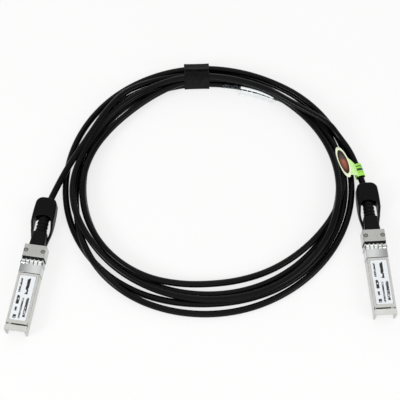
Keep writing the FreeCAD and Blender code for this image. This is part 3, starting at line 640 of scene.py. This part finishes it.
def tie_rows():
    """Points of the strap: its outline swept along the cable, edges a little uneven."""
    middle = Vector((sum(d[0] for d in discs) / len(discs), sum(d[1] for d in discs) / len(discs)))
    turn = math.radians(TIE_SQUARE)
    outward = Vector((math.sin(turn), math.cos(turn), 0))
    sideways = Vector((math.cos(turn), -math.sin(turn), 0))
    rows = []
    for i, point in enumerate(profile):
        row = []
        for j in range(STRAP_ACROSS + 1):
            share = j / STRAP_ACROSS - 0.5
            wave = 0.25 * math.sin(0.55 * i + 1.3) * abs(share) * 2 * (1 if share > 0 else -0.8)
            flare = (point - middle).normalized() * 0.35 * (2 * abs(share)) ** 4
            r, z = point.x + flare.x * 0.5, max(point.y + flare.y * 0.5, TIE_T / 2)
            row.append(Vector(on_coil(TIE_MIDDLE_R, TIE_TURN, z)) + outward * (r - TIE_MIDDLE_R)
                       + sideways * (share * TIE_L + wave * 0.4))
        rows.append(row)
    return rows


def loop_fabric():
    """Woven nylon tape with a pile of loops."""
    material, tree = start("napped_nylon_tape", Sheen_Weight=0.03, Sheen_Roughness=0.5,
                           Specular_IOR_Level=0.15, Roughness=0.85)
    uv = add(tree, "ShaderNodeUVMap").outputs[0]
    weave = add(tree, "ShaderNodeTexWave", {"Vector": uv, "Scale": 0.9, "Distortion": 1.5, "Detail": 1.0,
                                            "Detail Scale": 2.0}, bands_direction="Y")
    # darker patches at random in the pile: painted shade standing in for the shade of the strap's folds
    fold_shade_patches = rescale(tree, noise(tree, uv, 0.22, 3.0), 0.4, 0.62)
    height = maths(tree, "MULTIPLY_ADD", weave.outputs["Fac"], 0.35, noise(tree, uv, 2.2, 4.0))
    dress(tree, blend(tree, fold_shade_patches, "#010101", "#0E0F0D"), normal=bump(tree, height, 0.8, 0.25))
    return material


tie = add_piece("hook_and_loop_tie", grid("hook_and_loop_tie", tie_rows()), loop_fabric(), "cable_tie")
thicken(tie, TIE_T * 0.95, edge=0.2)
print("strap length, mm", round(len(profile) * STRAP_STEP), "round passes at",
      [round(d[0], 1) for d in discs],
      "its end at", round(profile[-1].x, 1))

# %% [markdown]
# **The flag** is a self-laminating cable marker: a white printed part, and a clear part that wraps
# round the strand and holds it. The clear sleeve is a ring swept along the innermost strand. The
# white part starts at the strand's crown, turns down its inner side and ends in a short tail.

# %% Marker flag on the innermost strand
SLEEVE = (7.0, 36.0)           # degrees round the coil
FLAG = (16.8, 34.5)
FLAG_EDGE = (112.0, 150.0)     # where the white starts round the strand, at its two ends
FLAG_TAIL = 3.6
FLAG_DROOP = 1.1
FLAG_END = 190                 # where it leaves the strand, degrees round it
FLAG_T = 0.14
SLEEVE_T = 0.08


def low_strand(degrees):
    """Radius round the coil and height of the innermost strand that lies on the table."""
    angle = np.degrees(np.arctan2(centre[:, 0] - COIL_AT[0], centre[:, 1] - COIL_AT[1]))
    radius = np.hypot(centre[:, 0] - COIL_AT[0], centre[:, 1] - COIL_AT[1])
    near = (np.abs(angle - degrees) < 2.0) & (centre[:, 2] < 1.1 * CABLE_D)
    k = np.where(near)[0][np.argmin(radius[near])]
    return radius[k], centre[k][2]


stations = np.arange(SLEEVE[0], SLEEVE[1] + 1)
found = np.array([low_strand(degrees) for degrees in stations])
MARKED_R = np.poly1d(np.polyfit(stations, found[:, 0], 2))
MARKED_Z = np.poly1d(np.polyfit(stations, found[:, 1], 2))
print("marked strand", [(round(MARKED_R(d), 1), round(MARKED_Z(d), 1)) for d in (*SLEEVE, *FLAG)])


def round_strand(degrees, reach, angles):
    """Points round the strand, angles counted from the side away from the coil's middle."""
    return [on_coil(MARKED_R(degrees) + reach * math.cos(a), degrees, MARKED_Z(degrees) + reach * math.sin(a))
            for a in map(math.radians, angles)]


def sleeve_rows():
    steps = 30
    around = [15 * k for k in range(25)]
    return [round_strand(SLEEVE[0] + (SLEEVE[1] - SLEEVE[0]) * i / steps, CABLE_R + SLEEVE_T, around)
            for i in range(steps + 1)]


def flag_rows():
    rows = []
    steps = 24
    reach = CABLE_R + 2 * SLEEVE_T + FLAG_T / 2
    for i in range(steps + 1):
        share = i / steps
        degrees = FLAG[0] + (FLAG[1] - FLAG[0]) * share
        first = FLAG_EDGE[0] + (FLAG_EDGE[1] - FLAG_EDGE[0]) * share ** 3
        row = round_strand(degrees, reach, [first + (FLAG_END - first) * k / 8 for k in range(9)])
        low = MARKED_Z(degrees) + reach * math.sin(math.radians(FLAG_END))
        for k in range(1, 7):
            r = MARKED_R(degrees) - reach - FLAG_TAIL * k / 6
            row.append(on_coil(r, degrees, max(low - FLAG_DROOP * (k / 6) ** 0.7, FLAG_T)))
        rows.append(row)
    return rows


def clear_polyester():
    """Clear film: it mostly lets the cable show through, and catches the light."""
    material, tree = start("clear_polyester_film", Transmission_Weight=1.0, Roughness=0.05, IOR=1.25)
    creases = noise(tree, add(tree, "ShaderNodeUVMap").outputs[0], 0.35)
    dress(tree, blend(tree, creases, "#DDF1F6", "#F2FAFC"), normal=bump(tree, creases, 0.4, 0.3))
    return material


def printed_vinyl(name, paper, ink, row, first, last, size=1.7, filled=0.5):
    """Smooth coated film with rows of dashes, row millimetres apart between two distances."""
    material, tree = start(name, Coat_Weight=0.35, Coat_Roughness=0.2, Roughness=0.42)
    uv = add(tree, "ShaderNodeUVMap").outputs[0]
    along, down = add(tree, "ShaderNodeSeparateXYZ", {0: uv}).outputs[:2]
    lines = maths(tree, "DIVIDE", down, row)
    words_at = add(tree, "ShaderNodeCombineXYZ", {"X": along, "Y": maths(tree, "FLOOR", lines)})
    mark = maths(tree, "GREATER_THAN", noise(tree, words_at.outputs[0], size, 1.0), 1 - filled)
    for other in (maths(tree, "COMPARE", maths(tree, "FRACT", lines), 0.5, 0.32),
                  maths(tree, "GREATER_THAN", down, first), maths(tree, "LESS_THAN", down, last)):
        mark = maths(tree, "MULTIPLY", mark, other)
    dress(tree, blend(tree, mark, blend(tree, noise(tree, uv, 0.15), *paper), ink))
    return material


white_vinyl = printed_vinyl("printed_white_vinyl", ("#F4F9FB", "#FCFEFE"), "#050608", 4.4, 1.5, 2.9,
                            size=1.3, filled=0.6)
flag = add_piece("strand_flag", grid("strand_flag", flag_rows()), white_vinyl, "cable_flag")
thicken(flag, FLAG_T)
sleeve = add_piece("flag_sleeve", grid("flag_sleeve", sleeve_rows()), clear_polyester())
thicken(sleeve, SLEEVE_T)
print("the white part spans", FLAG[1] - FLAG[0], "degrees of the coil")

# %% [markdown]
# **The tag** is a bright green vinyl strip wrapped round lead B, with an oval seal at the end of its
# tail that lies over the coil. The wrap is a ring of points round the cable, the tail bends down
# onto the turns, and the oval is a disc of rings so that its rim and field can have their own tones.

# %% Wrap-round tag and its oval
TAG_L = 9.0
TAG_GAP = 1.0
TAG_T = 0.2
TAG_ALONG = 0.68
OVAL = (11.8, 3.5)
OVAL_TURN = 105.5
OVAL_REACH = (9.9, 5.2)        # inward and away from the plug
OVAL_Z = 8.9
RIM_JOIN = (282.0, 206.0)      # where the film leaves the rim, degrees round the oval
OVAL_RINGS, OVAL_AROUND = 8, 48

lead_from, lead_to = Vector(LEAD_B[0]), Vector(LEAD_B[1])
tag_at = lead_from + (lead_to - lead_from) * TAG_ALONG
oval_at = Vector((tag_at.x - OVAL_REACH[0], tag_at.y + OVAL_REACH[1], OVAL_Z))
print("tag wraps the lead at", [round(c, 1) for c in tag_at])


def nearest_line(point):
    """The cable's centre nearest a place, and its direction there."""
    k = int(np.argmin(np.linalg.norm(centre - np.array(point), axis=1)))
    way = Vector(centre[k + 1]) - Vector(centre[k - 1])
    return Vector(centre[k]), way.normalized()


def round_lead(share, degrees):
    """A point of the wrap: share of its length towards the plug, degrees from its inner side."""
    middle, way = nearest_line(tag_at)
    side = way.cross(Vector((0, 0, 1))).normalized()
    if side.x > 0:
        side = -side
    up = Vector((0, 0, 1)) - way * way.z
    turn = math.radians(degrees)
    reach = CABLE_R + TAG_GAP
    return (middle + way * (share - 0.5) * TAG_L + side * math.cos(turn) * reach
            + up.normalized() * math.sin(turn) * reach)


def wrap_rows():
    return [[round_lead(j / 10, 40 + 345 * i / 32) for j in range(11)] for i in range(33)]


def on_oval(share, degrees):
    """A point of the oval, which droops a little towards its ends."""
    turn = math.radians(degrees)
    flat = Vector((OVAL[0] * share * math.cos(turn), OVAL[1] * share * math.sin(turn), 0))
    lying = Matrix.Rotation(math.radians(OVAL_TURN), 3, "Z") @ flat
    return oval_at + lying + Vector((0, 0, -0.006 * flat.x ** 2))


def oval_disc():
    return [[on_oval(ring / OVAL_RINGS, 360 / OVAL_AROUND * k) for k in range(OVAL_AROUND + 1)]
            for ring in range(OVAL_RINGS + 1)]


def neck_rows():
    """Film between the top of the wrap and the oval's rim."""
    rows = []
    for i in range(13):
        share = i / 12
        rim = on_oval(0.97, RIM_JOIN[0] + (RIM_JOIN[1] - RIM_JOIN[0]) * share)
        top = round_lead(share, 62)
        rows.append([top.lerp(rim, j / 8) + Vector((0, 0, 0.25 * math.sin(math.pi * j / 8)))
                     for j in range(9)])
    return rows


green_vinyl = printed_vinyl("printed_green_vinyl", ("#86D82C", "#B8F25C"), "#07491E", 2.9, 1.6, 6.6,
                            size=0.8, filled=0.62)
# The neck is a paler green than the wrap: the film's own mint, and a painted highlight of its gloss.
neck_vinyl_with_highlight = printed_vinyl("mint_vinyl_painted_highlight", ("#B4EE7C", "#DFF9BE"), "#B4EE7C", 2.6, 0.0, 1.0)


def oval_film():
    """Pale-rimmed film with a dark ring and a field of two plain browns."""
    material, tree = start("printed_seal_film", Coat_Weight=0.1, Coat_Roughness=0.2,
                           Specular_IOR_Level=0.2, Roughness=0.35)
    out = add(tree, "ShaderNodeSeparateXYZ", {0: add(tree, "ShaderNodeUVMap").outputs[0]}).outputs["X"]
    rim = [(0.76, linear("#140D0A")), (0.79, linear("#E9F5C6")), (1.0, linear("#F6FBE4"))]
    fields = [ramp(tree, out, [(at, linear(code)) for at, code in zip((0.0, 0.42, 0.62), codes)] + rim)
              for codes in (("#A8644E", "#8A4A3A", "#4A251B"), ("#6B5550", "#4F3F3B", "#2A1E1A"))]
    place = add(tree, "ShaderNodeTexCoord").outputs["Generated"]
    half = rescale(tree, add(tree, "ShaderNodeSeparateXYZ", {0: place}).outputs["Y"], 0.52, 0.6)
    dress(tree, blend(tree, half, *[field.outputs[0] for field in fields]))
    return material


def ring_uv(mesh):
    """Writes the share of the way from centre to rim into u."""
    layer = mesh.uv_layers["UVMap"].data
    for polygon in mesh.polygons:
        for loop in polygon.loop_indices:
            layer[loop].uv[0] = (mesh.loops[loop].vertex_index // (OVAL_AROUND + 1)) / OVAL_RINGS
    return mesh


wrap = add_piece("tag_wrap", grid("tag_wrap", wrap_rows()), green_vinyl, "lead_tag")
neck = add_piece("tag_neck", grid("tag_neck", neck_rows()), neck_vinyl_with_highlight)
oval = add_piece("tag_oval", ring_uv(grid("tag_oval", oval_disc())), oval_film())
for piece in (wrap, neck, oval):
    thicken(piece, TAG_T)
print("tag pieces", wrap.name, neck.name, oval.name)

# %% [markdown]
# **The labels** on the plugs are white polyester film in a shallow recess of the cover, with rounded
# corners. What is printed on it is plain dashes in a few rows.

# %% Labels on the plugs
LABEL_W, LABEL_L = 10.2, 29.1
LABEL_U = 35.45                # middle, measured from the nose's face
LABEL_Z = 8.9
LABEL_CORNER = 0.8
LABEL_T = 0.1
# rows of dashes: middle of the row, half its width, first and last place along, dash size
LABEL_ROWS = ((-3.1, 0.6, 3.4, 12.6, 1.3), (-2.65, 0.9, -4.3, 1.4, 1.0), (-2.6, 0.65, -8.8, -6.2, 1.3),
              (-2.4, 0.95, -13.4, -11.1, 0.8), (1.3, 0.95, 2.4, 13.0, 0.9), (0.4, 0.55, -13.4, 0.0, 1.4),
              (3.2, 0.85, -12.2, 0.2, 1.1))


def label_outline():
    points = []
    for k, (x, y) in enumerate(((1, 1), (-1, 1), (-1, -1), (1, -1))):
        for step in range(5):
            a = math.pi / 2 * (k + step / 4)
            points.append(((LABEL_W / 2 - LABEL_CORNER) * x + LABEL_CORNER * math.cos(a),
                           (LABEL_L / 2 - LABEL_CORNER) * y + LABEL_CORNER * math.sin(a)))
    return points


def label_mesh(letter):
    mesh = bmesh.new()
    layer = mesh.loops.layers.uv.new("UVMap")
    flat = label_outline()
    verts = [mesh.verts.new(PLUGS[letter] @ Vector((x, y - LABEL_U, LABEL_Z))) for x, y in flat]
    face = mesh.faces.new(verts)
    for corner, (x, y) in zip(face.loops, flat):
        corner[layer].uv = (x, y)
    data = bpy.data.meshes.new("label_film_" + letter)
    mesh.to_mesh(data)
    mesh.free()
    return data


def label_film():
    material, tree = start("printed_polyester", Coat_Weight=0.5, Coat_Roughness=0.12, Roughness=0.35)
    uv = add(tree, "ShaderNodeUVMap").outputs[0]
    across, along = add(tree, "ShaderNodeSeparateXYZ", {0: uv}).outputs[:2]
    mark = 0.0
    for k, (middle, half, low, high, size) in enumerate(LABEL_ROWS):
        words_at = add(tree, "ShaderNodeCombineXYZ", {"X": across, "Y": along, "Z": 7.3 * k})
        dash = maths(tree, "GREATER_THAN", noise(tree, words_at.outputs[0], size, 1.0), 0.41)
        band = maths(tree, "COMPARE", across, middle, half)
        span = maths(tree, "COMPARE", along, (low + high) / 2, (high - low) / 2)
        inked = maths(tree, "MULTIPLY", maths(tree, "MULTIPLY", band, span), dash)
        mark = maths(tree, "MAXIMUM", mark, inked)
    sheet = blend(tree, noise(tree, uv, 0.12), "#E2E6EA", "#EDF0F3")
    dress(tree, blend(tree, mark, sheet, "#040506"))
    return material


film = label_film()
for letter in PLUGS:
    made = add_piece("label_film_" + letter, label_mesh(letter), film, "label_" + letter)
    thicken(made, LABEL_T)
print("labels", LABEL_W, "x", LABEL_L, "mm")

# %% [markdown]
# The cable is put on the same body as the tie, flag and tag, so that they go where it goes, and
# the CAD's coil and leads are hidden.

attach(cable, ROOT)
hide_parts("coil", "lead_a", "lead_b")

# %% [markdown]
# The table is a plain pale sheet. It is lit like the object, so shadows fall on it, and part of what
# the camera sees of it is its own pale glow, so that it stays near white. Two large soft lamps and
# an even white surround light everything at a plain level.

# %% Table, surround and lamps
bpy.context.scene.view_settings.view_transform = "Standard"
FLOOR_SIZE = 6000.0
TABLE_GLOW = 0.72              # share of the table's look that is its own glow
SURROUND_LIGHT = 0.72          # strength of the surround as a light


def seen_rays(tree):
    """The ray's kinds, and 1 for what is looked at: directly, in a mirror or through clear film."""
    rays = add(tree, "ShaderNodeLightPath").outputs
    seen = maths(tree, "MAXIMUM", rays["Is Camera Ray"], rays["Is Glossy Ray"])
    return rays, maths(tree, "MAXIMUM", seen, rays["Is Transmission Ray"])


def white_table():
    material, tree = start("matt_white_board", Roughness=0.9)
    place = add(tree, "ShaderNodeTexCoord").outputs["Object"]
    dress(tree, blend(tree, noise(tree, place, per_mm(60.0)), "#F0F0EF", "#F5F5F4"))
    share = maths(tree, "MULTIPLY", seen_rays(tree)[1], TABLE_GLOW)
    glow = add(tree, "ShaderNodeEmission", {"Color": (1, 1, 1, 1), "Strength": 1.0})
    mixed = add(tree, "ShaderNodeMixShader", {0: share, 1: tree.nodes["Principled BSDF"].outputs[0],
                                              2: glow.outputs[0]})
    tree.links.new(mixed.outputs[0], tree.nodes["Material Output"].inputs["Surface"])
    return material


floor_mesh = bpy.data.meshes.new("table")
half = FLOOR_SIZE * MM / 2
floor_mesh.from_pydata([(-half, -half, 0), (half, -half, 0), (half, half, 0), (-half, half, 0)], [],
                       [(0, 1, 2, 3)])
floor_mesh.materials.append(white_table())
table = bpy.data.objects.new("table", floor_mesh)
bpy.context.scene.collection.objects.link(table)

# light by how high the way points, and how much of it is left by how far it points to the side
MIRRORED = 1.45                # strength of the surround in glossy surfaces
CEILING = ((0.68, 1.0), (0.84, 0.51), (0.92, 0.51), (0.96, 0.76))
ASIDE = ((0.0, 1.0), (0.24, 0.84), (0.5, 0.28))


def surround():
    """An even white surround, graded by height and side where glossy surfaces mirror it."""
    world = bpy.data.worlds.new("surround")
    world.use_nodes = True
    bpy.context.scene.world = world
    tree = world.node_tree
    tree.nodes.clear()
    rays, seen = seen_rays(tree)
    way = add(tree, "ShaderNodeTexCoord").outputs["Generated"]
    to_side, _, up = add(tree, "ShaderNodeSeparateXYZ", {0: way}).outputs
    ceiling, left = (ramp(tree, at, [(place, (level, level, level, 1)) for place, level in grades])
                     for at, grades in ((up, CEILING), (maths(tree, "ABSOLUTE", to_side), ASIDE)))
    kept = add(tree, "ShaderNodeMix", {"Factor": rescale(tree, up, 0.1, 0.35), "A": 1.0,
                                       "B": left.outputs[0]})
    level = maths(tree, "MULTIPLY", maths(tree, "MULTIPLY", ceiling.outputs[0], kept.outputs[0]), MIRRORED)
    strength = add(tree, "ShaderNodeMix", {"Factor": rays["Is Glossy Ray"], "A": 1.0, "B": level})
    dim = add(tree, "ShaderNodeBackground", {"Color": (1, 1, 1, 1), "Strength": SURROUND_LIGHT})
    white = add(tree, "ShaderNodeBackground", {"Color": (1, 1, 1, 1), "Strength": strength.outputs[0]})
    mixed = add(tree, "ShaderNodeMixShader", {0: seen, 1: dim.outputs[0], 2: white.outputs[0]})
    add(tree, "ShaderNodeOutputWorld", {"Surface": mixed.outputs[0]})


def lamp(name, at, size, power):
    """A square soft lamp aimed where the camera looks."""
    data = bpy.data.lights.new(name, "AREA")
    data.size = size * MM
    data.energy = power
    made = bpy.data.objects.new(name, data)
    bpy.context.scene.collection.objects.link(made)
    made.location = Vector(at) * MM
    made.rotation_euler = (Vector(CAMERA_AIM) - Vector(at)).to_track_quat("-Z", "Y").to_euler()


surround()
lamp("key_lamp", (-900, -500, 600), 420, 6.0)
lamp("fill_lamp", (900, -500, 600), 700, 4.0)
